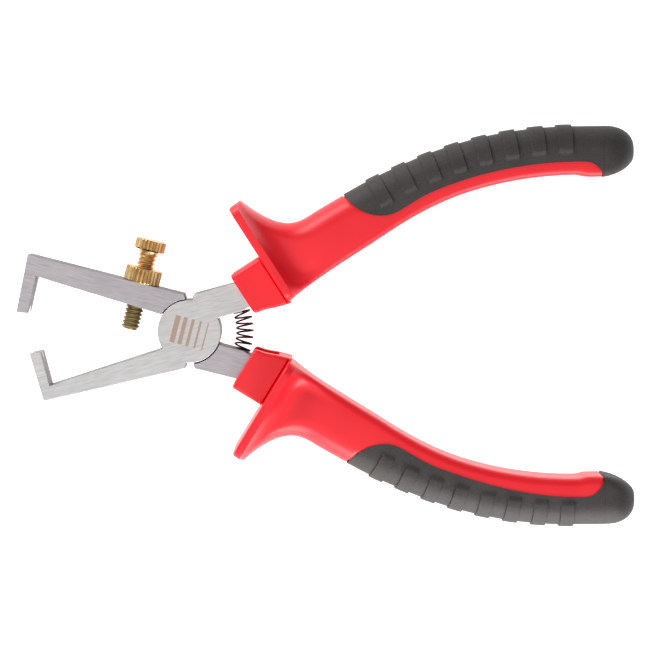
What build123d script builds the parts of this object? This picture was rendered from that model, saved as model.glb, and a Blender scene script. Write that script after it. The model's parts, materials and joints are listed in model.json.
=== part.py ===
from build123d import *
from math import cos, radians, sin, sqrt
import os

# An adjustable wire stripper that lies flat: two half-lap levers on a rivet, a setting screw
# with its lock nut, a return spring and two-material grips. The origin is on the pivot axis,
# at the back face of the head. +X runs from the pivot towards the grips, +Y towards the long
# jaw, and +Z is the thickness, from the back face to the front face. Millimetres and degrees.

# Head and rivet
plate_thickness = 8.0
head_radius = 8.2
head_clearance = 0.3
lap_clearance = 0.05
running_clearance = 0.05
rivet_radius = 3.0
rivet_head_radius = 4.0
rivet_head_depth = 1.0

# Jaw arms: shoulders beside the head, and the rise of each arm's edges from the -X axis
shoulder_gap = 1.5
shoulder_flare = 0.5
shoulder_rise = 1.45
arm_root_rise = 0.45
arm_root_angle = 32.0
long_outer_slope = 15.1
short_outer_slope = 12.4

# Jaw blades: reaches from the pivot, and angles of their corners from the -X axis
blade_reach = 41.85
blade_gap = 0.3
blade_width = 2.9
long_heel_setback = 0.7
short_heel_setback = 3.8
heel_swell = 0.3
long_heel_angle = 20.7
inner_corner_angle = 20.6
tip_angle = 7.2
wire_notch_depth = 2.2
wire_notch_width = 3.6

# Setting screw and lock nut, square to the long arm's outer edge
screw_radius = 2.4
screw_place = 11.7
screw_below = 12.5
screw_neck = 4.75
screw_head_radius = 3.95
screw_head_height = 2.8
nut_radius = 4.75
nut_height = 3.85
edge_break = 0.45

# Return spring between the tangs
spring_place = 14.1
spring_radius = 2.15
spring_wire_radius = 0.24
spring_turns = 7.5
spring_seat_depth = 0.9

# Grip centreline: straight from its start at the collar, then one arc, then straight
grip_start = (14.45, 9.8)
grip_angle = 32.0
grip_straight = 38.4
grip_bend_radius = 100.0
grip_tail = 15.6

# Tangs, which run on inside the grips
tang_width = 7.2
tang_tail_width = 5.2
tang_depth = 44.0
tang_root_angle = 23.5
tang_root_rise = 1.3
tang_outer_bend = -1.0
tang_inner_bend = -3.0

# Collar at the front of each sleeve, with a channel that shows the tang's inner edge
collar_front = -0.6
collar_outer = 5.9
collar_inner = 5.7
collar_inner_rear = 8.6
collar_thickness = 14.0
collar_corner = 1.5
channel_length = 5.6

# Guard and grip body, measured outwards from the centreline
guard_place = 8.5
guard_rim = 1.8
guard_tip = 3.4
guard_reach = 20.4
guard_half_thickness = 11.0
guard_flare = 14.0
guard_side_flare = 9.0
guard_corner = 4.0
grip_half_width = 6.9
grip_half_thickness = 7.8
grip_slimming = 0.5
grip_swell = 1.0
swell_middle = 26.0
swell_end = 54.0
inner_slimming = 0.9
inner_slim_start = 33.0
inner_slim_length = 32.0
grip_corner = 5.0
end_round = 7.0

# Soft overmould: its depth, the line where it meets the red sleeve, and its raised pads
soft_depth = 1.6
soft_start = 35.5
soft_lobe = 8.0
soft_line = 2.7
soft_dip = 1.4
soft_end = 101.4
pad_count = 8
pad_first = 43.5
pad_pitch = 6.9
pad_length = 3.6
pad_height = 0.7
pad_reach = 7.3

mid_height = plate_thickness / 2
tilt = radians(grip_angle)
bend_end = grip_straight + grip_bend_radius * tilt
grip_length = bend_end + grip_tail
lap_bottom = mid_height - lap_clearance / 2
lap_top = mid_height + lap_clearance / 2
beyond = 60.0


def polar(reach, angle):
    """A jaw point: its distance from the pivot and its angle up from the -X axis."""
    return (-reach * cos(radians(angle)), reach * sin(radians(angle)))


def flip(points):
    """The same points on the other side of the X axis."""
    return [(x, -y) for x, y in points]


def centreline(run):
    """Point and heading of the upper grip's centreline, `run` along it from its start."""
    straight = min(run, grip_straight)
    turned = min(max(run - grip_straight, 0.0) / grip_bend_radius, tilt)
    heading = tilt - turned
    x = grip_start[0] + straight * cos(tilt) + grip_bend_radius * (sin(tilt) - sin(heading))
    y = grip_start[1] + straight * sin(tilt) + grip_bend_radius * (cos(heading) - cos(tilt))
    return x + max(run - bend_end, 0.0), y, heading


def beside(run, offset):
    """A point `offset` outwards from the centreline."""
    x, y, heading = centreline(run)
    return (x - offset * sin(heading), y + offset * cos(heading))


def across(run):
    """The plane square to the centreline, with x outwards and y up."""
    x, y, heading = centreline(run)
    return Plane(
        origin=(x, y, mid_height),
        x_dir=(-sin(heading), cos(heading), 0),
        z_dir=(cos(heading), sin(heading), 0),
    )


def fade(run, start, length):
    """Falls from 1 at `start` to 0 after `length`, quickly at first."""
    return min(max((start + length - run) / length, 0.0), 1.0) ** 3


def grip_section(run, shrink):
    """Middle, half width, half thickness and corner radius of the grip at one place."""
    side_flare = fade(run, guard_place + guard_rim, guard_side_flare)
    slim = grip_slimming * min(max(run / bend_end, 0.0), 1.0)
    swell = min(run / swell_middle, (swell_end - run) / (swell_end - swell_middle))
    outer = grip_half_width - slim + grip_swell * max(swell, 0.0)
    outer += (guard_reach - grip_half_width) * fade(run, guard_place + guard_tip, guard_flare)
    inner_slim = min(max((run - inner_slim_start) / inner_slim_length, 0.0), 1.0)
    inner = grip_half_width - inner_slimming * inner_slim
    inner += fade(run, guard_place, guard_flare + guard_side_flare)
    half = grip_half_thickness - slim / 2
    half += (guard_half_thickness - grip_half_thickness) * side_flare
    closing = max(run - (grip_length - end_round), 0.0) / end_round
    fullness = 0.15 + 0.85 * sqrt(max(1 - closing**2, 0.0))
    half_width = (outer + inner) / 2 * fullness - shrink
    half_thickness = half * fullness - shrink
    corner = grip_corner + (guard_corner - grip_corner) * side_flare - shrink
    return (outer - inner) / 2, half_width, half_thickness, min(corner, 0.9 * half_width)


def spaced(first, last, count):
    """Places along the centreline, `count` equal steps from `first` to `last`."""
    return [first + (last - first) * i / count for i in range(count + 1)]


def screw_plane(height):
    """The plane square to the screw, `height` above the long arm's outer edge."""
    slope = radians(long_outer_slope)
    x = shoulder_top[0] - screw_place * cos(slope) + height * sin(slope)
    y = shoulder_top[1] + screw_place * sin(slope) + height * cos(slope)
    return Plane(origin=(x, y, mid_height), x_dir=(0, 0, 1), z_dir=(sin(slope), cos(slope), 0))


def heel(reach, slope):
    """The outer corner of a jaw, where its arm's sloping edge ends."""
    rise = (reach + shoulder_top[0]) * sin(radians(slope)) / cos(radians(slope))
    return (-reach, shoulder_top[1] + rise)


# ------------------------------------------------------------------ lever outlines
shoulder_top = (-shoulder_gap / 2 - shoulder_flare, head_radius + shoulder_rise)
shoulder_foot = (-shoulder_gap / 2, head_radius - head_clearance)
arm_root = polar(head_radius + arm_root_rise, arm_root_angle)
long_inner_reach = blade_reach + blade_gap
long_outer_reach = long_inner_reach + blade_width
short_inner_reach = blade_reach - blade_width
long_jaw = [
    (0, 0),
    shoulder_foot,
    shoulder_top,
    heel(long_inner_reach - long_heel_setback, long_outer_slope),
    polar(long_outer_reach + heel_swell, long_heel_angle),
    polar(long_outer_reach, tip_angle),
    polar(long_inner_reach, tip_angle),
    polar(long_inner_reach, inner_corner_angle),
    arm_root,
]
short_jaw = [
    (0, 0),
    shoulder_foot,
    shoulder_top,
    heel(blade_reach - short_heel_setback, short_outer_slope),
    polar(blade_reach, tip_angle),
    polar(short_inner_reach, tip_angle),
    polar(short_inner_reach, inner_corner_angle),
    arm_root,
]
tang_root = polar(-head_radius - tang_root_rise, -tang_root_angle)
upper_tang = [
    (0, 0),
    (-shoulder_foot[0], shoulder_foot[1]),
    (-shoulder_top[0], shoulder_top[1]),
    beside(tang_outer_bend, tang_width / 2),
    beside(tang_depth, tang_tail_width / 2),
    beside(tang_depth, -tang_tail_width / 2),
    beside(tang_inner_bend, -tang_width / 2),
    tang_root,
]
# The tangs' inner edges at the spring's place, where its ends sit in blind seats.
seat_rise = (spring_place - tang_root[0]) / (upper_tang[6][0] - tang_root[0])
seat_face = tang_root[1] + (upper_tang[6][1] - tang_root[1]) * seat_rise
seat_end = seat_face + spring_seat_depth


def notch(tip_height, inwards):
    """The wire notch's V across the blade's end, drawn on to 1 mm outside the end."""
    half_width = wire_notch_width / 2 * (1 + 1 / wire_notch_depth)
    return [
        (tip_height - inwards, mid_height - half_width),
        (tip_height + inwards * wire_notch_depth, mid_height),
        (tip_height - inwards, mid_height + half_width),
    ]


def grip_body(runs, shrink):
    """The grip's solid through its cross-sections at these places, `shrink` inside its skin."""
    with BuildPart() as body:
        for run in runs:
            middle, half_width, half_thickness, corner = grip_section(run, shrink)
            with BuildSketch(across(run)):
                with Locations((middle, 0)):
                    RectangleRounded(2 * half_width, 2 * half_thickness, corner)
        loft(ruled=True)
    return body.part


os.makedirs("parts", exist_ok=True)

# ------------------------------------------------------------------ rear lever
with BuildPart() as rear_lever:
    with BuildSketch(Plane.XY):
        Circle(head_radius)
        with BuildLine():
            Polyline(long_jaw, close=True)
        make_face()
        with BuildLine():
            Polyline(flip(upper_tang), close=True)
        make_face()
    extrude(amount=plate_thickness)
    # The front half of the head is open for the front lever's disc.
    with BuildSketch(Plane.XY.offset(lap_bottom)):
        Circle(head_radius + head_clearance)
    extrude(amount=plate_thickness, mode=Mode.SUBTRACT)
    # Rivet bore and the seat of the rivet's head at the back face.
    with BuildSketch(Plane.XY):
        Circle(rivet_radius + running_clearance)
    extrude(amount=plate_thickness, mode=Mode.SUBTRACT)
    with BuildSketch(Plane.XY):
        Circle(rivet_head_radius + running_clearance)
    extrude(amount=rivet_head_depth + running_clearance, mode=Mode.SUBTRACT)
    # Blind seat for the spring in the tang's inner edge.
    with BuildSketch(Plane.XZ):
        with Locations((spring_place, mid_height)):
            Circle(spring_radius + spring_wire_radius + running_clearance)
    extrude(amount=seat_end, mode=Mode.SUBTRACT)
    # Bore for the setting screw, right through the arm.
    with BuildSketch(screw_plane(nut_height)):
        Circle(screw_radius + running_clearance)
    extrude(amount=-screw_below - nut_height, mode=Mode.SUBTRACT)
    with BuildSketch(Plane.YZ.offset(-long_outer_reach - heel_swell)):
        with BuildLine():
            Polyline(notch(long_inner_reach * sin(radians(tip_angle)), 1), close=True)
        make_face()
    extrude(amount=blade_width * 3, mode=Mode.SUBTRACT)
rear_lever.part.label = "rear_lever"
export_step(rear_lever.part, "parts/rear_lever.step")

# ------------------------------------------------------------------ front lever
with BuildPart() as front_lever:
    with BuildSketch(Plane.XY):
        Circle(head_radius)
        with BuildLine():
            Polyline(flip(short_jaw), close=True)
        make_face()
        with BuildLine():
            Polyline(upper_tang, close=True)
        make_face()
    extrude(amount=plate_thickness)
    # The back half of the head is open for the rear lever's disc.
    with BuildSketch(Plane.XY):
        Circle(head_radius + head_clearance)
    extrude(amount=lap_top, mode=Mode.SUBTRACT)
    # The rivet is pressed into this lever.
    with BuildSketch(Plane.XY):
        Circle(rivet_radius)
    extrude(amount=plate_thickness, mode=Mode.SUBTRACT)
    with BuildSketch(Plane.XY.offset(plate_thickness)):
        Circle(rivet_head_radius)
    extrude(amount=-rivet_head_depth, mode=Mode.SUBTRACT)
    # Blind seat for the spring in the tang's inner edge.
    with BuildSketch(Plane.XZ):
        with Locations((spring_place, mid_height)):
            Circle(spring_radius + spring_wire_radius + running_clearance)
    extrude(amount=-seat_end, mode=Mode.SUBTRACT)
    with BuildSketch(Plane.YZ.offset(-blade_reach - heel_swell)):
        with BuildLine():
            Polyline(notch(-blade_reach * sin(radians(tip_angle)), -1), close=True)
        make_face()
    extrude(amount=blade_width * 3, mode=Mode.SUBTRACT)
front_lever.part.label = "front_lever"
export_step(front_lever.part, "parts/front_lever.step")

# ------------------------------------------------------------------ pivot rivet
with BuildPart() as pivot_rivet:
    with BuildSketch(Plane.XY):
        Circle(rivet_radius)
    extrude(amount=plate_thickness)
    with BuildSketch(Plane.XY):
        Circle(rivet_head_radius)
    extrude(amount=rivet_head_depth)
    with BuildSketch(Plane.XY.offset(plate_thickness)):
        Circle(rivet_head_radius)
    extrude(amount=-rivet_head_depth)
pivot_rivet.part.label = "pivot_rivet"
export_step(pivot_rivet.part, "parts/pivot_rivet.step")

# ------------------------------------------------------------------ setting screw and lock nut
head_seat = nut_height + screw_neck
with BuildPart() as setting_screw:
    with BuildSketch(screw_plane(-screw_below)):
        Circle(screw_radius)
    extrude(amount=screw_below + head_seat)
    with BuildSketch(screw_plane(head_seat)):
        Circle(screw_head_radius)
    extrude(amount=screw_head_height)
    rims = setting_screw.edges().filter_by(GeomType.CIRCLE)
    chamfer([rim for rim in rims if rim.radius > screw_head_radius - edge_break], edge_break)
setting_screw.part.label = "setting_screw"
export_step(setting_screw.part, "parts/setting_screw.step")

with BuildPart() as lock_nut:
    with BuildSketch(screw_plane(0.0)):
        Circle(nut_radius)
        Circle(screw_radius + running_clearance, mode=Mode.SUBTRACT)
    extrude(amount=nut_height)
    rims = lock_nut.edges().filter_by(GeomType.CIRCLE)
    chamfer([rim for rim in rims if rim.radius > nut_radius - edge_break], edge_break)
lock_nut.part.label = "lock_nut"
export_step(lock_nut.part, "parts/lock_nut.step")

# ------------------------------------------------------------------ return spring
coil_half_length = seat_end - spring_wire_radius - running_clearance
with BuildPart() as return_spring:
    with BuildLine() as coil:
        Helix(
            pitch=2 * coil_half_length / spring_turns,
            height=2 * coil_half_length,
            radius=spring_radius,
            center=(spring_place, -coil_half_length, mid_height),
            direction=(0, 1, 0),
        )
    with BuildSketch(Plane(origin=coil.line @ 0, z_dir=coil.line % 0)):
        Circle(spring_wire_radius)
    sweep(is_frenet=True)
return_spring.part.label = "return_spring"
export_step(return_spring.part, "parts/return_spring.step")

# ------------------------------------------------------------------ grips
flare_end = guard_place + guard_tip + guard_flare
round_start = grip_length - end_round
grip_runs = [guard_place, guard_place + guard_rim]
grip_runs += spaced(guard_place + guard_tip, flare_end, 7)
grip_runs += spaced(flare_end + 5.0, round_start, 11)
grip_runs += [round_start + end_round * share for share in (0.4, 0.7, 0.88, 0.97, 1.0)]
whole_grip = grip_body(grip_runs, 0.0)

# Raised pads across the outer side of the soft grip.
pad_runs = spaced(pad_first - pad_length, pad_first + pad_pitch * pad_count, pad_count)
with BuildPart() as pads:
    for pad in range(pad_count):
        with BuildSketch(across(pad_first + pad * pad_pitch - pad_length / 2)):
            with Locations((grip_half_width - pad_reach + beyond / 4, 0)):
                Rectangle(beyond / 2, beyond)
        extrude(amount=pad_length)
    add(grip_body(pad_runs, -pad_height), mode=Mode.INTERSECT)

# The soft overmould lies on a red core, outwards of a line that dips behind the guard and
# runs back along the grip to the round end, where it turns in to the inner edge.
core_runs = spaced(soft_start - soft_lobe, round_start, 12) + [round_start + 0.6 * end_round]
lobe_middle = soft_start + 1.5 * soft_lobe
line_end = soft_end - 3.0
soft_edge = [
    beside(soft_start, grip_half_width + 1.0),
    beside(soft_start + 0.25 * soft_lobe, 0.5),
    beside(soft_start + 0.8 * soft_lobe, -soft_line),
    beside(lobe_middle, -soft_line - soft_dip),
]
soft_edge += [beside(run, -soft_line) for run in spaced(lobe_middle + soft_lobe, line_end, 4)]
soft_edge += [
    beside(soft_end, -soft_line - soft_lobe / 4),
    beside(soft_end, -soft_line - soft_lobe / 2),
    beside(soft_end - 3.0, -grip_half_width - 2.0),
]
around = [beside(soft_end, -beyond / 5), beside(grip_length + 5.0, -beyond / 5)]
around += [beside(grip_length + 5.0, beyond / 5)]
around += [beside(run, beyond / 5) for run in spaced(bend_end, soft_start, 3)]
with BuildPart() as upper_soft_grip:
    with BuildSketch(Plane.XY.offset(-beyond)):
        with BuildLine():
            Spline(soft_edge)
            Polyline([soft_edge[-1]] + around + [soft_edge[0]])
        make_face()
    extrude(amount=2 * beyond)
    add(whole_grip, mode=Mode.INTERSECT)
    add(pads.part)
    add(grip_body(core_runs, soft_depth), mode=Mode.SUBTRACT)

# The red sleeve: collar, guard, inner side and core, moulded on the tang.
with BuildPart() as upper_red_sleeve:
    for run, inner in ((collar_front, collar_inner), (guard_place, collar_inner_rear)):
        with BuildSketch(across(run)):
            with Locations(((collar_outer - inner) / 2, 0)):
                RectangleRounded(collar_outer + inner, collar_thickness, collar_corner)
    loft(ruled=True)
    # A channel along the collar's inner side bares the tang's edge.
    with BuildSketch(across(channel_length)):
        with Locations((-tang_width / 2 - collar_inner_rear, 0)):
            Rectangle(2 * collar_inner_rear, plate_thickness)
    extrude(amount=collar_front - channel_length, mode=Mode.SUBTRACT)
    add(whole_grip)
    add(upper_soft_grip.part, mode=Mode.SUBTRACT)
    with BuildSketch(Plane.XY):
        with BuildLine():
            Polyline(upper_tang, close=True)
        make_face()
    extrude(amount=plate_thickness, mode=Mode.SUBTRACT)

with BuildPart() as lower_soft_grip:
    mirror(upper_soft_grip.part, about=Plane.XZ)

with BuildPart() as lower_red_sleeve:
    mirror(upper_red_sleeve.part, about=Plane.XZ)

upper_soft_grip.part.label = "upper_soft_grip"
upper_red_sleeve.part.label = "upper_red_sleeve"
lower_soft_grip.part.label = "lower_soft_grip"
lower_red_sleeve.part.label = "lower_red_sleeve"
export_step(upper_soft_grip.part, "parts/upper_soft_grip.step")
export_step(upper_red_sleeve.part, "parts/upper_red_sleeve.step")
export_step(lower_soft_grip.part, "parts/lower_soft_grip.step")
export_step(lower_red_sleeve.part, "parts/lower_red_sleeve.step")
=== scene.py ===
"""Looks of an adjustable wire stripper: ground levers, brass setting screw, spring and grips."""

import json
import logging
import math
from dataclasses import dataclass, field, replace
from enum import Enum
from typing import Any, Optional, Sequence, Union

import bmesh
import bpy
from mathutils import Matrix, Vector


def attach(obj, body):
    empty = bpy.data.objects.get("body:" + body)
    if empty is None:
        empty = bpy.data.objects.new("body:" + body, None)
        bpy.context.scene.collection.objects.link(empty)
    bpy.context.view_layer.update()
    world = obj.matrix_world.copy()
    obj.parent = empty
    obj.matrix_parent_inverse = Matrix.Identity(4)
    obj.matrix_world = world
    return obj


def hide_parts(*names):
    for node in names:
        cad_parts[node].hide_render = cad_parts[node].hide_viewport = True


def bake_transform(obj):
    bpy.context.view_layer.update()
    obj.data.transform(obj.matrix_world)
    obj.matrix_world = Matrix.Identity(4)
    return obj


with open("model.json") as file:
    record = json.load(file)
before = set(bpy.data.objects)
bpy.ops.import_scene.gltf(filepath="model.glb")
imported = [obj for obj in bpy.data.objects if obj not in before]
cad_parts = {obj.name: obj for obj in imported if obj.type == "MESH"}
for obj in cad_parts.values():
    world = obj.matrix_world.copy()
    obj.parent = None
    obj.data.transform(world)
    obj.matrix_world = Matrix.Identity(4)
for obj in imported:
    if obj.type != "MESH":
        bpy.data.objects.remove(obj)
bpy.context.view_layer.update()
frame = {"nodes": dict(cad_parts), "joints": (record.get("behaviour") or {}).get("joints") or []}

LOG = logging.getLogger("wire_stripper")
MM = 0.001
WALL = "wall"
FLAT = math.radians(1.0)
SHARP_CORNER = math.radians(25.0)
QUARTER = tuple(math.sin(math.radians(a)) for a in (12, 24, 36, 47, 57, 66, 74, 81, 86, 90))
Colour = tuple[float, float, float]
Edges = list[bmesh.types.BMEdge]


# ------------------------------------------------------------------ shader expressions
class Signal:
    """One output socket of a node tree, with arithmetic that adds Math nodes."""

    def __init__(self, recipe: "Recipe", socket: bpy.types.NodeSocket) -> None:
        """Wraps a socket.

        Args:
            recipe: The node tree that owns the socket.
            socket: The output socket.
        """
        self.recipe = recipe
        self.socket = socket

    def math(self, operation: str, *values: "Value") -> "Signal":
        """Adds a Math node.

        Args:
            operation: The Math node's operation.
            values: The node's inputs, in order.

        Returns:
            The node's result.
        """
        return self.recipe.add("ShaderNodeMath", {"operation": operation}, dict(enumerate(values)))

    def __add__(self, other: "Value") -> "Signal":
        """Sum."""
        return self.math("ADD", self, other)

    def __radd__(self, other: "Value") -> "Signal":
        """Sum with a number on the left."""
        return self.math("ADD", other, self)

    def __sub__(self, other: "Value") -> "Signal":
        """Difference."""
        return self.math("SUBTRACT", self, other)

    def __rsub__(self, other: "Value") -> "Signal":
        """Difference from a number on the left."""
        return self.math("SUBTRACT", other, self)

    def __mul__(self, other: "Value") -> "Signal":
        """Product."""
        return self.math("MULTIPLY", self, other)

    def __rmul__(self, other: "Value") -> "Signal":
        """Product with a number on the left."""
        return self.math("MULTIPLY", other, self)

    def __truediv__(self, other: "Value") -> "Signal":
        """Quotient."""
        return self.math("DIVIDE", self, other)

    def absolute(self) -> "Signal":
        """The value without its sign."""
        return self.math("ABSOLUTE", self)

    def clamp(self) -> "Signal":
        """The value held between 0 and 1."""
        return self.math("MAXIMUM", self.math("MINIMUM", self, 1.0), 0.0)

    def above(self, edge: float, soft: float) -> "Signal":
        """A mask that rises from 0 to 1 across an edge.

        Args:
            edge: The value at the middle of the rise.
            soft: The width of the rise.

        Returns:
            The mask.
        """
        return ((self - (edge - soft / 2)) / soft).clamp()

    def below(self, edge: float, soft: float) -> "Signal":
        """The opposite of above()."""
        return 1.0 - self.above(edge, soft)


Value = Union[Signal, float, Colour, Sequence[float]]


class Recipe:
    """The node tree of one material around one Principled shader."""

    def __init__(self, name: str, constants: dict[str, Any]) -> None:
        """Makes an empty tree.

        Args:
            name: The material's name.
            constants: Values of the shader's own sockets that are the same all over.
        """
        self.material = bpy.data.materials.new(name)
        self.material.use_nodes = True
        self.tree = self.material.node_tree
        self.tree.nodes.clear()
        output = self.tree.nodes.new("ShaderNodeOutputMaterial")
        self.shader = self.tree.nodes.new("ShaderNodeBsdfPrincipled")
        self.tree.links.new(self.shader.outputs["BSDF"], output.inputs["Surface"])
        for socket, value in constants.items():
            self.feed(self.shader.inputs[socket], value)

    def feed(self, socket: bpy.types.NodeSocket, value: Value) -> None:
        """Links or sets one input socket.

        Args:
            socket: The input.
            value: A signal to link, or a number, colour or vector to set.
        """
        if isinstance(value, Signal):
            self.tree.links.new(value.socket, socket)
        elif isinstance(value, (int, float)):
            socket.default_value = float(value)
        else:
            alpha = (1.0,) if socket.type == "RGBA" and len(value) == 3 else ()
            socket.default_value = (*value, *alpha)

    def add(
        self,
        kind: str,
        settings: Optional[dict[str, Any]] = None,
        inputs: Optional[dict[Union[str, int], Value]] = None,
        output: Union[str, int] = 0,
    ) -> Signal:
        """Adds any node.

        Args:
            kind: The node's type.
            settings: The node's own settings, set first.
            inputs: Values or links of its sockets, by name or place.
            output: The socket to return.

        Returns:
            The chosen output.
        """
        node = self.tree.nodes.new(kind)
        for name, value in (settings or {}).items():
            setattr(node, name, value)
        for name, value in (inputs or {}).items():
            self.feed(node.inputs[name], value)
        return Signal(self, node.outputs[output])

    def place(self) -> Signal:
        """The Object coordinates of a point, in metres."""
        return self.add("ShaderNodeTexCoord", output="Object")

    def axes(self, vector: Signal) -> list[Signal]:
        """A vector's three numbers."""
        node = self.add("ShaderNodeSeparateXYZ", inputs={0: vector}).socket.node
        return [Signal(self, socket) for socket in node.outputs]

    def turned(self, vector: Signal, angle: float, scale: Sequence[float]) -> Signal:
        """Turns a vector about Z and then stretches it.

        Args:
            vector: The coordinates.
            angle: The turn in radians.
            scale: The stretch along the turned axes.

        Returns:
            The new coordinates.
        """
        spun = self.add("ShaderNodeMapping", inputs={0: vector, "Rotation": (0, 0, angle)})
        return self.add("ShaderNodeMapping", inputs={0: spun, "Scale": scale})

    def noise(self, vector: Signal, scale: float, detail: float = 2.0) -> Signal:
        """Smooth noise around 0.5.

        Args:
            vector: The coordinates.
            scale: Features for each unit of the coordinates.
            detail: The number of finer layers.

        Returns:
            The noise.
        """
        inputs = {"Vector": vector, "Scale": scale, "Detail": detail, "Roughness": 0.6}
        return self.add("ShaderNodeTexNoise", inputs=inputs)

    def mix(self, factor: Value, first: Value, second: Value) -> Signal:
        """Mixes two colours.

        Args:
            factor: The share of the second colour.
            first: The first colour.
            second: The second colour.

        Returns:
            The mixed colour.
        """
        settings = {"data_type": "RGBA"}
        return self.add("ShaderNodeMix", settings, {0: factor, 6: first, 7: second}, output=2)

    def bump(self, height: Signal, distance: float, strength: float = 1.0) -> Signal:
        """A normal that follows a height.

        Args:
            height: The height, 0 to 1.
            distance: The depth that a height of 1 stands for, in metres.
            strength: How much of it shows.

        Returns:
            The normal.
        """
        inputs = {"Strength": strength, "Distance": distance, "Height": height}
        return self.add("ShaderNodeBump", inputs=inputs)

    def finish(self, **varying: Signal) -> bpy.types.Material:
        """Feeds the shader's varying sockets.

        Args:
            varying: Signals by socket name, with an underscore for each space.

        Returns:
            The material.
        """
        for name, signal in varying.items():
            self.feed(self.shader.inputs[name.replace("_", " ")], signal)
        return self.material


# ------------------------------------------------------------------ finishes
@dataclass(frozen=True)
class GaugeMark:
    """A generic laser mark on the head: parallel bars of growing thickness, in millimetres."""

    middle: tuple[float, float] = (0.2, -0.3)
    heading: float = 1.3
    pitch: float = 2.0
    half_length: float = 3.6
    half_widths: tuple[float, ...] = (0.16, 0.26, 0.38, 0.52, 0.68)
    soft: float = 0.1
    face_height: float = 8.0

    def mask(self, recipe: Recipe) -> Signal:
        """Where the mark is burnt in.

        Args:
            recipe: The tree to add it to.

        Returns:
            The mask.
        """
        x, y, z = [axis * (1 / MM) for axis in recipe.axes(recipe.place())]
        across, along = math.cos(self.heading), math.sin(self.heading)
        right, up = x - self.middle[0], y - self.middle[1]
        reach = (right * across + up * along).absolute()
        aside = up * across - right * along
        found = reach.below(self.half_length, self.soft)
        bars = None
        for place, width in enumerate(self.half_widths):
            offset = (place - (len(self.half_widths) - 1) / 2) * self.pitch
            bar = (aside - offset).absolute().below(width, self.soft)
            bars = bar if bars is None else bars + bar
        return (found * bars).clamp() * z.above(self.face_height - 0.1, 0.05)


@dataclass(frozen=True)
class GroundSteel:
    """Belt-ground tool steel, with its grain along the lever's arm."""

    name: str
    light: Colour
    dark: Colour
    grain_angle: float
    roughness: float = 0.4
    wall: Colour = (0.09, 0.078, 0.07)
    mark: Optional[GaugeMark] = None
    mark_colour: Colour = (0.42, 0.27, 0.18)

    def make(self) -> bpy.types.Material:
        """Builds the material.

        Returns:
            The material.
        """
        recipe = Recipe(self.name, {"Metallic": 1.0})
        place = recipe.place()
        along = recipe.turned(place, -self.grain_angle, (260.0, 6500.0, 1500.0))
        grain = recipe.noise(along, 1.0, 3.0)
        broad = recipe.noise(recipe.turned(place, -self.grain_angle, (110.0, 1500.0, 400.0)), 1.0)
        cloud = recipe.noise(place, 90.0, 3.0)
        tone = ((grain - 0.5) * 2.2 + (broad - 0.5) * 0.7 + (cloud - 0.5) * 0.8 + 0.5).clamp()
        colour = recipe.mix(tone, self.dark, self.light)
        # Faces that do not face up are mixed towards the darker wall colour and made rougher.
        wall = recipe.add("ShaderNodeAttribute", {"attribute_name": WALL}, output="Fac")
        colour = recipe.mix(wall * (0.55 + 0.5 * cloud), colour, self.wall)
        rough = self.roughness + (grain - 0.5) * 0.22 + (cloud - 0.5) * 0.12 + wall * 0.15
        if self.mark is not None:
            burnt = self.mark.mask(recipe) * (0.85 + 0.5 * (grain - 0.5))
            colour = recipe.mix(burnt, colour, self.mark_colour)
            rough = rough + burnt * 0.2
            recipe.feed(recipe.shader.inputs["Metallic"], 1.0 - 0.8 * burnt)
        normal = recipe.bump(grain + broad * 0.6, 0.000012)
        return recipe.finish(Base_Color=colour, Roughness=rough.clamp(), Normal=normal)


@dataclass(frozen=True)
class TurnedBrass:
    """Turned brass that is darker below a height along the screw, with dark speckles."""

    name: str
    bright: Colour = (0.74, 0.51, 0.23)
    worn: Colour = (0.50, 0.30, 0.12)
    dark_brass: Colour = (0.36, 0.285, 0.14)
    axis: Sequence[float] = (0.0, 1.0, 0.0)
    seat: Sequence[float] = (0.0, 0.0, 0.0)
    darker_below: float = -0.004

    def make(self) -> bpy.types.Material:
        """Builds the material.

        Returns:
            The material.
        """
        recipe = Recipe(self.name, {"Metallic": 1.0})
        place = recipe.place()
        dot = {"operation": "DOT_PRODUCT"}
        height = recipe.add("ShaderNodeVectorMath", dot, {0: place, 1: self.axis}, "Value")
        height = height - Vector(self.axis).dot(Vector(self.seat))
        cloud = recipe.noise(place, 420.0, 4.0)
        speckle = recipe.noise(place, 2600.0, 2.0)
        colour = recipe.mix(cloud.above(0.55, 0.3), self.bright, self.worn)
        # Below that height along the axis the brass is mixed towards the darker tone.
        lower = height.below(self.darker_below, 0.003)
        colour = recipe.mix(lower * 0.9, colour, self.dark_brass)
        colour = recipe.mix(speckle.above(0.66, 0.12) * 0.5, colour, self.dark_brass)
        rough = 0.24 + 0.22 * cloud + 0.12 * lower
        normal = recipe.bump(speckle, 0.00002, 0.5)
        return recipe.finish(Base_Color=colour, Roughness=rough, Normal=normal)


@dataclass(frozen=True)
class OxideWire:
    """Black oxidised spring wire with drawn streaks."""

    name: str
    colour: Colour = (0.028, 0.025, 0.025)
    rubbed: Colour = (0.11, 0.095, 0.09)

    def make(self) -> bpy.types.Material:
        """Builds the material.

        Returns:
            The material.
        """
        recipe = Recipe(self.name, {"Metallic": 0.85})
        streak = recipe.noise(recipe.place(), 2400.0, 3.0)
        colour = recipe.mix(streak.above(0.62, 0.2), self.colour, self.rubbed)
        normal = recipe.bump(streak, 0.00001)
        return recipe.finish(Base_Color=colour, Roughness=0.3 + 0.25 * streak, Normal=normal)


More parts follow.
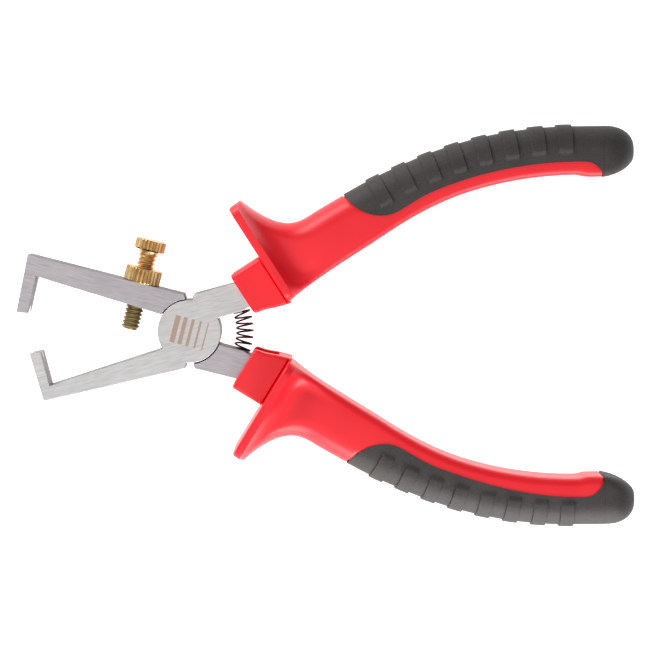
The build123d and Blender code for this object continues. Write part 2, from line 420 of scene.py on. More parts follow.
@dataclass(frozen=True)
class MouldedRed:
    """Semi-gloss red plastic with a faint moulding ripple and handling scuffs."""

    name: str
    colour: Colour = (0.90, 0.013, 0.025)
    deep: Colour = (0.84, 0.009, 0.020)
    scuff: Colour = (0.92, 0.05, 0.06)

    def make(self) -> bpy.types.Material:
        """Builds the material.

        Returns:
            The material.
        """
        recipe = Recipe(self.name, {"Coat Roughness": 0.2, "Specular IOR Level": 0.35})
        place = recipe.place()
        cloud = recipe.noise(place, 55.0, 2.0)
        fine = recipe.noise(place, 3200.0, 2.0)
        scratch = recipe.noise(recipe.turned(place, 0.5, (260.0, 4200.0, 900.0)), 1.0, 2.0)
        colour = recipe.mix(cloud.above(0.5, 0.5), self.deep, self.colour)
        scuffed = scratch.above(0.7, 0.08) * cloud.above(0.52, 0.2)
        colour = recipe.mix(scuffed * 0.3, colour, self.scuff)
        rough = 0.36 + 0.1 * cloud + 0.1 * scuffed
        normal = recipe.bump(fine + 0.5 * recipe.noise(place, 700.0, 1.0), 0.000012)
        return recipe.finish(
            Base_Color=colour, Roughness=rough, Normal=normal, Coat_Weight=0.08 + 0.14 * cloud
        )


@dataclass(frozen=True)
class MattRubber:
    """Matt thermoplastic rubber with a fine spark-eroded grain."""

    name: str
    colour: Colour = (0.027, 0.0235, 0.022)
    dusty: Colour = (0.072, 0.065, 0.060)

    def make(self) -> bpy.types.Material:
        """Builds the material.

        Returns:
            The material.
        """
        recipe = Recipe(self.name, {"Specular IOR Level": 0.4})
        place = recipe.place()
        grain = recipe.noise(place, 3600.0, 3.0)
        cloud = recipe.noise(place, 120.0, 3.0)
        worn = cloud.above(0.5, 0.5) * 0.4 + grain.above(0.52, 0.3) * 0.5
        colour = recipe.mix(worn, self.colour, self.dusty)
        normal = recipe.bump(grain, 0.00005, 0.7)
        return recipe.finish(Base_Color=colour, Roughness=0.55 + 0.16 * cloud, Normal=normal)


# ------------------------------------------------------------------ mesh helpers
def ring(bm: bmesh.types.BMesh, points: Sequence[Vector]) -> Edges:
    """A closed loop of edges through points, from a circle that is moved onto them.

    Args:
        bm: The mesh to add to.
        points: Where the loop's corners go.

    Returns:
        The loop's edges.
    """
    made = bmesh.ops.create_circle(bm, segments=len(points), radius=1.0)["verts"]
    for vert, point in zip(made, points):
        vert.co = point
    own = set(made)
    return [edge for edge in {e for v in made for e in v.link_edges} if set(edge.verts) <= own]


def loft(bm: bmesh.types.BMesh, rings: Sequence[Sequence[Vector]], closed: bool = True) -> None:
    """Bridges loops of points into a tube and closes its ends.

    Args:
        bm: The mesh to add to.
        rings: The loops, all with the same number of points.
        closed: Whether the two ends get a face.
    """
    loops = [ring(bm, points) for points in rings]
    for before, after in zip(loops, loops[1:]):
        bmesh.ops.bridge_loops(bm, edges=before + after)
    if closed:
        for end in (loops[0], loops[-1]):
            bmesh.ops.contextual_create(bm, geom=end)


def to_piece(
    bm: bmesh.types.BMesh,
    name: str,
    material: bpy.types.Material,
    sharp: float = 35.0,
) -> bpy.types.Object:
    """Turns a mesh in millimetres into a finished object in metres.

    Args:
        bm: The mesh, which is freed.
        name: The piece's name.
        material: Its finish.
        sharp: Edges that turn by more than this many degrees are shaded sharp.

    Returns:
        The object, at the origin.
    """
    bmesh.ops.remove_doubles(bm, verts=bm.verts, dist=0.0005)
    bmesh.ops.recalc_face_normals(bm, faces=bm.faces)
    bmesh.ops.scale(bm, vec=(MM, MM, MM), verts=bm.verts)
    for face in bm.faces:
        face.smooth = True
    for edge in bm.edges:
        edge.smooth = edge.is_manifold and edge.calc_face_angle(0.0) < math.radians(sharp)
    mesh = bpy.data.meshes.new(name)
    bm.to_mesh(mesh)
    bm.free()
    mesh.materials.append(material)
    piece = bpy.data.objects.new(name, mesh)
    bpy.context.scene.collection.objects.link(piece)
    LOG.info("%s: %d faces", name, len(mesh.polygons))
    return piece


def spread(first: float, last: float, count: int) -> list[float]:
    """Evenly spaced numbers, both ends included."""
    return [first + (last - first) * i / count for i in range(count + 1)]


# ------------------------------------------------------------------ levers
@dataclass
class Lever:
    """A lever: the CAD plate with its edges broken as a grinder leaves them."""

    node: str
    body: str
    finish: GroundSteel
    edge_break: float = 0.16
    seat_radius: float = 4.3

    def build(self) -> bpy.types.Object:
        """Builds the piece that stands for the CAD plate.

        Returns:
            The piece.
        """
        bm = bmesh.new()
        bm.from_mesh(frame["nodes"][self.node].data)
        bmesh.ops.scale(bm, vec=(1 / MM,) * 3, verts=bm.verts)
        bmesh.ops.remove_doubles(bm, verts=bm.verts, dist=0.001)
        bmesh.ops.dissolve_limit(bm, angle_limit=FLAT, verts=bm.verts, edges=bm.edges)
        corners = [e for e in bm.edges if self._is_corner(e)]
        bmesh.ops.bevel(
            bm, geom=corners, offset=self.edge_break, segments=2, profile=0.5,
            affect="EDGES", material=-1, clamp_overlap=True,
        )
        wall = bm.faces.layers.float.new(WALL)
        for face in bm.faces:
            face[wall] = 1.0 - min(abs(face.normal.z) * 1.4, 1.0)
        piece = to_piece(bm, self.node + "_ground", self.finish.make(), sharp=12.0)
        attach(piece, self.body)
        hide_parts(self.node)
        return piece

    def _is_corner(self, edge: bmesh.types.BMEdge) -> bool:
        """Tells whether an edge is an outer corner that isn't part of the rivet's seat.

        Args:
            edge: The edge.

        Returns:
            Whether the grinder breaks it.
        """
        if not edge.is_manifold or edge.calc_face_angle(0.0) < SHARP_CORNER:
            return False
        middle = (edge.verts[0].co + edge.verts[1].co) / 2
        return edge.is_convex and math.hypot(middle.x, middle.y) > self.seat_radius


# ------------------------------------------------------------------ screw and nut
@dataclass
class ScrewStand:
    """Where the setting screw stands: its axis, and its seat on the long arm, in millimetres."""

    axis: Vector = field(default_factory=lambda: Vector(joint("nut_turn")["axis"]).normalized())
    nut_height: float = 3.85

    @property
    def seat(self) -> Vector:
        """The middle of the nut's lower face."""
        return Vector(joint("nut_turn")["pos_m"]) / MM - self.axis * self.nut_height / 2

    def raise_up(self, bm: bmesh.types.BMesh) -> None:
        """Moves a mesh made along +Z onto the screw's axis, with the seat at height 0."""
        turn = self.axis.to_track_quat("Z", "Y").to_matrix().to_4x4()
        bmesh.ops.transform(bm, matrix=Matrix.Translation(self.seat) @ turn, verts=bm.verts)


def joint(name: str) -> dict[str, Any]:
    """The frame's joint of that name."""
    return next(found for found in frame["joints"] if found["name"] == name)


@dataclass
class Knurl:
    """A straight-knurled collar along +Z."""

    radius: float
    teeth: int = 28
    depth: float = 0.34
    chamfer: float = 0.32

    @property
    def count(self) -> int:
        """Points round the collar: two on each tooth's flat top and one in each groove."""
        return self.teeth * 3

    def rims(self, low: float, high: float) -> list[list[Vector]]:
        """The loops of a knurled band with chamfered ends.

        Args:
            low: The band's lower height.
            high: Its upper height.

        Returns:
            The loops from low to high.
        """
        small = self.radius - self.chamfer
        mid = self.radius - self.chamfer * 0.45
        return [
            self._loop(low, small, 0.0),
            self._loop(low + self.chamfer * 0.3, mid, 0.25),
            self._loop(low + self.chamfer, self.radius, 1.0),
            self._loop(high - self.chamfer, self.radius, 1.0),
            self._loop(high - self.chamfer * 0.3, mid, 0.25),
            self._loop(high, small, 0.0),
        ]

    def _loop(self, height: float, radius: float, share: float) -> list[Vector]:
        """One loop, with its grooves cut to a share of their depth.

        Args:
            height: Where the loop lies.
            radius: Its outer radius.
            share: How deep its grooves are, from 0 to 1.

        Returns:
            The loop's points.
        """
        points = []
        for step in range(self.count):
            angle = 2 * math.pi * step / self.count
            reach = radius - self.depth * share * (step % 3 == 2)
            points.append(Vector((reach * math.cos(angle), reach * math.sin(angle), height)))
        return points


def plain_loop(radius: float, height: float, count: int) -> list[Vector]:
    """A round loop of points at one height."""
    turns = [2 * math.pi * step / count for step in range(count)]
    return [Vector((radius * math.cos(a), radius * math.sin(a), height)) for a in turns]


@dataclass
class SettingScrew:
    """The brass screw: knurled head, flared neck and a true helical thread."""

    stand: ScrewStand
    radius: float = 2.4
    pitch: float = 1.05
    thread_depth: float = 0.5
    below: float = 12.5
    neck: float = 4.75
    runout: float = 0.9
    tip_inset: float = 0.15
    tip_slope: float = 1.1
    head_radius: float = 3.95
    head_height: float = 2.8
    steps: int = 36

    def build(self) -> bpy.types.Object:
        """Builds the piece that stands for the CAD screw.

        Returns:
            The piece.
        """
        bm = bmesh.new()
        self._thread(bm)
        self._head(bm)
        self.stand.raise_up(bm)
        finish = TurnedBrass("brass_screw", axis=self.stand.axis, seat=self.stand.seat * MM)
        piece = to_piece(bm, "brass_setting_screw", finish.make(), sharp=28.0)
        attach(piece, "screw")
        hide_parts("setting_screw")
        return piece

    def _thread(self, bm: bmesh.types.BMesh) -> None:
        """Spins one pitch of thread profile up the shank, cuts its ends square and points its tip.

        Args:
            bm: The mesh to add to.
        """
        root = self.radius - self.thread_depth
        low, high = -self.below, self.stand.nut_height + self.neck - self.runout
        turns = math.ceil((high - low) / self.pitch) + 2
        crest = self.radius
        shares = ((root, 0.0), (root, 0.12), (crest, 0.46), (crest, 0.6), (root, 0.94), (root, 1.0))
        start = low - self.pitch
        profile = [bm.verts.new((reach, 0, start + share * self.pitch)) for reach, share in shares]
        edges = [bm.edges.new(pair) for pair in zip(profile, profile[1:])]
        bmesh.ops.spin(
            bm, geom=profile + edges, cent=(0, 0, 0), axis=(0, 0, 1), angle=2 * math.pi * turns,
            steps=self.steps * turns, dvec=(0, 0, self.pitch / self.steps), use_merge=False,
        )
        bmesh.ops.remove_doubles(bm, verts=bm.verts, dist=0.002)
        for height, side in ((low, 1), (high, -1)):
            geom = bm.verts[:] + bm.edges[:] + bm.faces[:]
            cut = bmesh.ops.bisect_plane(
                bm, geom=geom, plane_co=(0, 0, height), plane_no=(0, 0, -side), clear_outer=True
            )
            rim = [e for e in cut["geom_cut"] if isinstance(e, bmesh.types.BMEdge)]
            bmesh.ops.contextual_create(bm, geom=rim)
        for vert in bm.verts:
            reach = math.hypot(vert.co.x, vert.co.y)
            allowed = root - self.tip_inset + (vert.co.z - low) * self.tip_slope
            if reach > allowed > 0:
                vert.co.x *= allowed / reach
                vert.co.y *= allowed / reach

    def _head(self, bm: bmesh.types.BMesh) -> None:
        """Adds the flared neck, the knurled band and the slightly dished top.

        Args:
            bm: The mesh to add to.
        """
        knurl = Knurl(self.head_radius, teeth=26)
        count = knurl.count
        base = self.stand.nut_height + self.neck
        neck_radius = self.radius - 0.08
        loops = [
            plain_loop(neck_radius - 0.5, base - 1.3, count),
            plain_loop(neck_radius, base - 1.1, count),
            plain_loop(neck_radius + 0.03, base - 0.55, count),
            plain_loop(neck_radius + 0.22, base - 0.2, count),
            plain_loop(neck_radius + 0.75, base, count),
        ]
        loops += knurl.rims(base, base + self.head_height)
        top = base + self.head_height
        loops.append(plain_loop(self.head_radius - 0.9, top, count))
        loops.append(plain_loop(self.head_radius - 2.4, top - 0.06, count))
        loft(bm, loops)


@dataclass
class LockNut:
    """The knurled brass lock nut on the long arm's outer edge."""

    stand: ScrewStand
    radius: float = 4.75
    bore: float = 2.48
    countersink: float = 0.35

    def build(self) -> bpy.types.Object:
        """Builds the piece that stands for the CAD nut.

        Returns:
            The piece.
        """
        bm = bmesh.new()
        knurl = Knurl(self.radius, teeth=28, depth=0.38)
        count = knurl.count
        height, sink = self.stand.nut_height, self.countersink
        loops = [plain_loop(self.bore, sink, count), plain_loop(self.bore + sink, 0.0, count)]
        loops += knurl.rims(0.0, height)
        loops += [plain_loop(self.bore + sink, height, count)]
        loops += [plain_loop(self.bore, height - sink, count)]
        loft(bm, loops + [loops[0]], closed=False)
        self.stand.raise_up(bm)
        finish = TurnedBrass("brass_nut", axis=self.stand.axis, seat=self.stand.seat * MM)
        piece = to_piece(bm, "brass_lock_nut", finish.make(), sharp=28.0)
        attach(piece, "nut")
        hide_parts("lock_nut")
        return piece


# ------------------------------------------------------------------ spring
@dataclass
class ReturnSpring:
    """The coil between the tangs, bent round the pivot, in millimetres."""

    place: float = 14.3
    half_angle: float = 0.44
    radius: float = 2.12
    wire: float = 0.25
    turns: float = 8.0
    first_turn: float = 0.6
    blend_reach: float = 1.15
    height: float = 4.0
    steps: int = 30

    def build(self) -> bpy.types.Object:
        """Builds the coil as a tube laid in an arc from one tang to the other.

        Returns:
            The piece.
        """
        curve = bpy.data.curves.new("spring_line", "CURVE")
        curve.dimensions = "3D"
        curve.bevel_depth = self.wire * MM
        curve.bevel_resolution = 3
        curve.use_fill_caps = True
        count = int(self.turns * self.steps)
        spline = curve.splines.new("POLY")
        spline.points.add(count)
        for step, point in enumerate(spline.points):
            point.co = (*(self._at(step / count) * MM), 1.0)
        holder = bpy.data.objects.new("spring_line", curve)
        mesh = bpy.data.meshes.new_from_object(holder)
        bpy.data.objects.remove(holder)
        mesh.name = "coil_spring"
        mesh.materials.clear()
        mesh.materials.append(OxideWire("black_spring_wire").make())
        for face in mesh.polygons:
            face.use_smooth = True
        piece = bpy.data.objects.new("coil_spring", mesh)
        bpy.context.scene.collection.objects.link(piece)
        reach = self.place * math.cos(self.half_angle) * MM
        rise = self.place * math.sin(self.half_angle) * MM * self.blend_reach
        -rise
        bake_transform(piece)
        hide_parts("return_spring")
        LOG.info("coil_spring: %d faces", len(mesh.polygons))
        return piece

    def _at(self, share: float) -> Vector:
        """A point of the wire's centreline.

        Args:
            share: Where it lies, from the rear tang at 0 to the front tang at 1.

        Returns:
            The point, in millimetres.
        """
        turn = 2 * math.pi * self.turns * share + self.first_turn
        lean = -self.half_angle + 2 * self.half_angle * share
        reach = self.place + self.radius * math.cos(turn)
        return Vector((
            reach * math.cos(lean), reach * math.sin(lean), self.height + self.radius * math.sin(turn)
        ))


# ------------------------------------------------------------------ grips
class Side(Enum):
    """Which grip: the value is the sign of its Y."""

    UPPER = 1
    LOWER = -1


@dataclass(frozen=True)
class Section:
    """One cross-section of a grip, in millimetres from its centreline."""

    outer: float
    inner: float
    half: float
    outer_corner: float
    inner_corner: float
    lower_inner_corner: float
    crown: float

    def outline(self) -> list[tuple[float, float]]:
        """The loop from the middle of the inner wall, over the top, and back underneath.

        Returns:
            The points, as offset and rise.
        """
        upper = self._half_outline(self.inner_corner)
        lower = [(t, -z) for t, z in reversed(self._half_outline(self.lower_inner_corner))]
        return upper + [(self.outer, 0.0)] + lower[:-1]

    def _half_outline(self, corner: float) -> list[tuple[float, float]]:
        """The upper half, from the middle of the inner wall to the outer side.

        Args:
            corner: The radius of the corner at the inner wall.

        Returns:
            The points, as offset and rise.
        """
        half = [(-self.inner, (self.half - corner) * i / 3) for i in range(3)]
        half += self._arc(-self.inner + corner, corner, 180, 90, 5)
        first, last = -self.inner + corner, self.outer - self.outer_corner
        half += [(t, self.half) for t in spread(first, last, 14)[1:-1]]
        half += self._arc(last, self.outer_corner, 90, 0, 9)
        half += [(self.outer, (self.half - self.outer_corner) * i / 3) for i in (2, 1)]
        middle, reach = (self.outer - self.inner) / 2, (self.outer + self.inner) / 2
        return [(t, z * (1 - self.crown * ((t - middle) / reach) ** 2)) for t, z in half]

    def _arc(
        self, centre: float, radius: float, start: float, end: float, count: int
    ) -> list[tuple[float, float]]:
        """Points of one rounded corner.

        Args:
            centre: The offset of the corner's centre.
            radius: Its radius.
            start: The angle of its first point, in degrees.
            end: The angle of its last point.
            count: The number of steps between them.

        Returns:
            The points, as offset and rise.
        """
        turns = [math.radians(a) for a in spread(start, end, count)]
        base = self.half - radius
        return [(centre + radius * math.cos(a), base + radius * math.sin(a)) for a in turns]


def ease(share: float) -> float:
    """Goes smoothly from 0 to 1 as the share does, and stays there."""
    held = min(max(share, 0.0), 1.0)
    return held * held * (3 - 2 * held)


def fade(run: float, start: float, length: float) -> float:
    """Falls from 1 at start to 0 after a length, quickly at first."""
    return min(max((start + length - run) / length, 0.0), 1.0) ** 3.0


@dataclass
class GripShape:
    """Centreline and cross-sections of one grip, in millimetres."""

    side: Side
    collar_start: tuple[float, float] = (14.45, 9.8)
    heading: float = math.radians(32.0)
    straight: float = 38.4
    bend_radius: float = 100.0
    tail: float = 15.6
    mid_height: float = 4.0
    guard_place: float = 8.5
    guard_rim: float = 2.1
    guard_tip: float = 3.4
    guard_reach: float = 20.4
    guard_half: float = 11.0
    guard_flare: float = 14.0
    guard_side_flare: float = 9.0
    rim_round: float = 0.7
    rim_nip: float = 0.55
    half_width: float = 6.9
    half_thickness: float = 7.8
    slimming: float = 0.5
    swell: float = 1.0
    swell_middle: float = 26.0
    swell_end: float = 54.0
    inner_slimming: float = 0.9
    inner_slim_start: float = 33.0
    inner_slim_length: float = 32.0
    bulge: float = 0.55
    bulge_start: float = 94.5
    bulge_length: float = 3.0
    end_round: float = 7.0
    inner_end_round: float = 9.6
    end_share: float = 0.15

    @property
    def bend_end(self) -> float:
        """Where the bend ends along the centreline."""
        return self.straight + self.bend_radius * self.heading

    @property
    def length(self) -> float:
        """The centreline's whole length."""
        return self.bend_end + self.tail

    def place(self, run: float, offset: float, rise: float) -> Vector:
        """A point of the grip.

        Args:
            run: The distance along the centreline.
            offset: The distance outwards from it.
            rise: The distance above it.

        Returns:
            The point in the row frame, in millimetres.
        """
        straight = min(run, self.straight)
        turned = min(max(run - self.straight, 0.0) / self.bend_radius, self.heading)
        now = self.heading - turned
        bend = self.bend_radius
        x = self.collar_start[0] + straight * math.cos(self.heading)
        y = self.collar_start[1] + straight * math.sin(self.heading)
        x += bend * (math.sin(self.heading) - math.sin(now)) + max(run - self.bend_end, 0.0)
        y += bend * (math.cos(now) - math.cos(self.heading))
        x -= offset * math.sin(now)
        y += offset * math.cos(now)
        return Vector((x, y * self.side.value, self.mid_height + rise))

    def section(self, run: float, grown: float = 0.0) -> Section:
        """The cross-section at a distance along the centreline.

        Args:
            run: The distance along the centreline.
            grown: How far the surface lies outside the sleeve's own.

        Returns:
            The section.
        """
        flare = fade(run, self.guard_place + self.guard_rim, self.guard_side_flare)
        slim = self.slimming * min(max(run / self.bend_end, 0.0), 1.0)
        rise = ease(run / self.swell_middle)
        fall = ease((self.swell_end - run) / (self.swell_end - self.swell_middle))
        outer = self.half_width - slim + self.swell * rise * fall
        outer += (self.guard_reach - self.half_width) * fade(
            run, self.guard_place + self.guard_tip, self.guard_flare
        )
        inner = self.half_width
        inner -= self.inner_slimming * ease((run - self.inner_slim_start) / self.inner_slim_length)
        inner += fade(run, self.guard_place, self.guard_flare + self.guard_side_flare)
        inner += self.bulge * ease((run - self.bulge_start) / self.bulge_length)
        half = self.half_thickness - slim / 2
        half += (self.guard_half - self.half_thickness) * flare
        edge = max(self.guard_place + self.rim_round - run, 0.0) / self.rim_round
        nip = self.rim_nip * (1 - math.sqrt(max(1 - edge**2, 0.0)))
        closing = self._closing(run, self.end_round)
        full = self.end_share + (1 - self.end_share) * math.sqrt(1 - closing**2)
        inner_closing = self._closing(run, self.inner_end_round)
        inner_full = self.end_share + (1 - self.end_share) * math.sqrt(1 - inner_closing**1.6)
        outer = outer * full - nip + grown
        inner = inner * min(inner_full, full) - nip + grown
        half = half * full - nip + grown
        least = 0.9 * min((outer + inner) / 2, half)
        return Section(
            outer=outer,
            inner=inner,
            half=half,
            outer_corner=min(5.6 - 2.4 * flare, least),
            inner_corner=min(1.7 + 1.6 * flare + 2.4 * closing, least),
            lower_inner_corner=min(3.0 + 1.0 * flare + 1.4 * closing, least),
            crown=0.06 * (1 - flare),
        )

    def _closing(self, run: float, length: float) -> float:
        """How far the rounding of the end has gone, from 0 to 1."""
        return min(max(run - (self.length - length), 0.0) / length, 1.0)


@dataclass(frozen=True)
class SoftLine:
    """The line on each face where the soft grip meets the red sleeve."""

    start: float = 35.3
    lobe: float = 9.6
    start_offset: float = 8.2
    line: float = 2.6
    dip: float = 0.7
    settle: float = 11.0
    turn_in: float = 96.4
    end: float = 101.5
    edge: float = 7.6
    widening: float = 0.0
    widening_start: float = 58.0

    def offset(self, run: float) -> float:
        """How far outwards the line lies at a distance along the centreline.

        Args:
            run: The distance along the centreline.

        Returns:
            The offset; beyond the grip's edge where there is no soft material yet.
        """
        grown = (run - self.widening_start) / (self.turn_in - self.widening_start)
        line = self.line - self.widening * ease(grown)
        lowest = -self.line - self.dip
        if run <= self.start:
            return 99.0
        if run < self.start + self.lobe:
            share = (run - self.start) / self.lobe
            drop = math.sqrt(1 - (1 - share) ** 2)
            return self.start_offset + (lowest - self.start_offset) * drop
        if run < self.turn_in:
            share = min((run - self.start - self.lobe) / self.settle, 1.0)
            return -line - self.dip * (1 - ease(share))
        if run < self.end:
            share = (run - self.turn_in) / (self.end - self.turn_in)
            return -line - (self.edge - line) * (1 - math.sqrt(1 - share**2))
        return -99.0


@dataclass
class RedSleeve:
    """The red sleeve: collar with its channel, guard, body and the core under the soft grip."""

    shape: GripShape
    node: str
    body: str
    line: SoftLine = SoftLine()
    sink: float = 0.9
    lip: float = 0.9
    lip_slope: float = 1.2
    dish_depth: float = 2.0
    dish_length: float = 7.5
    rim_slope: float = 1.1
    rim_widening: float = 1.8
    rim_easing: float = 1.6
    collar_front: float = -0.6
    collar_outer: float = 5.9
    collar_inner: float = 5.7
    collar_inner_rear: float = 8.6
    collar_half_thickness: float = 7.0
    collar_edge: float = 0.7
    collar_waist: float = 0.22
    collar_overlap: float = 0.4
    groove_half: float = 0.3
    groove_depth: float = 0.7
    channel_half: float = 4.0
    channel_floor: float = 3.6
    channel_end: float = 5.6

    def build(self, material: bpy.types.Material) -> bpy.types.Object:
        """Builds the piece that stands for the CAD sleeve.

        Args:
            material: The red finish.

        Returns:
            The piece.
        """
        bm = bmesh.new()
        shape = self.shape
        flare_end = shape.guard_place + shape.guard_tip + shape.guard_flare
        rim = [shape.guard_place + step for step in (0.0, 0.1, 0.25, 0.45, 0.7, 1.2)]
        behind = shape.guard_place + shape.guard_rim
        runs = rim + [behind] + [behind + step for step in (0.15, 0.35, 0.6, 0.9)]
        runs += spread(behind + 1.25, flare_end, 32)
        runs += spread(flare_end + 1.0, shape.length - shape.end_round, 78)
        runs += [shape.length - shape.end_round * (1 - share) for share in QUARTER]
        loft(bm, [self._loop(run) for run in runs])
        self._collar(bm)
        piece = to_piece(bm, self.node.replace("_sleeve", "_moulding"), material, sharp=40.0)
        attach(piece, self.body)
        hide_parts(self.node)
        return piece

    def _loop(self, run: float) -> list[Vector]:
        """One loop of the sleeve, sunk where the soft grip covers it.

        Args:
            run: The distance along the centreline.

        Returns:
            The loop's points.
        """
        points = []
        line = self.line.offset(run)
        for offset, rise in self.shape.section(run).outline():
            depth = min(max((offset - line - self.lip) / self.lip_slope, 0.0), 1.0) * self.sink
            reach = math.hypot(offset, rise) or 1.0
            share = 1 - depth / reach
            dish = math.copysign(self._dish(run, offset), rise) * min(abs(rise) / 5.0, 1.0)
            points.append(self.shape.place(run, offset * share, rise * share - dish))
        return points

    def _dish(self, run: float, offset: float) -> float:
        """Depth of the hollow behind the guard's rim, which leaves a ridge at the inner edge.

        Args:
            run: The distance along the centreline.
            offset: The distance outwards from it.

        Returns:
            The depth.
        """
        past = run - self.shape.guard_place - self.shape.guard_rim
        inward = ease((-offset - 1.0) / 6.5)
        past -= self.rim_widening * inward
        if past <= 0:
            return 0.0
        wall = 1 - math.exp(-past / (self.rim_slope + self.rim_easing * inward))
        along = wall * math.exp(-((past / self.dish_length) ** 2))
        return self.dish_depth * along * ease((offset + 7.2) / 3.6)

    def _collar(self, bm: bmesh.types.BMesh) -> None:
        """Adds a block that widens towards the guard, with a channel along its inner side.

        Args:
            bm: The mesh to add to.
        """
        edge, outer = self.collar_edge, self.collar_outer
        guard_face = self.shape.guard_place
        rear = guard_face + self.collar_overlap
        steps = [0.0, 0.06, 0.2, 0.4, 0.7] + spread(1.2, self.channel_end - self.collar_front, 9)
        steps += [self.channel_end - self.collar_front + 0.05]
        groove_start = guard_face - 2 * self.groove_half - self.collar_front
        steps += [groove_start, groove_start + self.groove_half]
        steps += [groove_start + 2 * self.groove_half, rear - self.collar_front]
        loops = []
        for step in steps:
            run = self.collar_front + step
            beside = abs(run - guard_face + self.groove_half)
            half = self.collar_half_thickness
            half -= self.groove_depth * max(1 - beside / self.groove_half, 0.0)
            nip = edge - math.sqrt(max(edge**2 - max(edge - step, 0.0) ** 2, 0.0))
            share = step / (rear - self.collar_front)
            inner = self.collar_inner + (self.collar_inner_rear - self.collar_inner) * share
            inner -= nip + self.collar_waist * math.sin(math.pi * min(step / 6.0, 1.0)) ** 2
            floor = self.channel_floor if run <= self.channel_end else inner - 0.05
            upper = [(-floor, 0.0), (-floor, self.channel_half), (-inner, self.channel_half)]
            upper += self._corner(-inner, half - nip, 0.9, 180)
            upper += self._corner(outer - nip, half - nip, 1.5, 90)
            lower = [(t, -z) for t, z in reversed(upper[1:])]
            outline = upper + [(outer - nip, 0.0)] + lower
            loops.append([self.shape.place(run, offset, rise) for offset, rise in outline])
        loft(bm, loops)

    @staticmethod
    def _corner(edge: float, top: float, radius: float, start: float) -> list[tuple[float, float]]:
        """Points of one rounded corner of the collar.

        Args:
            edge: The offset of the side that the corner rounds.
            top: The rise of the face above it.
            radius: The corner's radius.
            start: 180 at the inner side and 90 at the outer one, in degrees.

        Returns:
            The points, as offset and rise.
        """
        centre = edge + radius if start == 180 else edge - radius
        turns = [math.radians(start - 90 * i / 5) for i in range(6)]
        return [(centre + radius * math.cos(a), top - radius + radius * math.sin(a)) for a in turns]


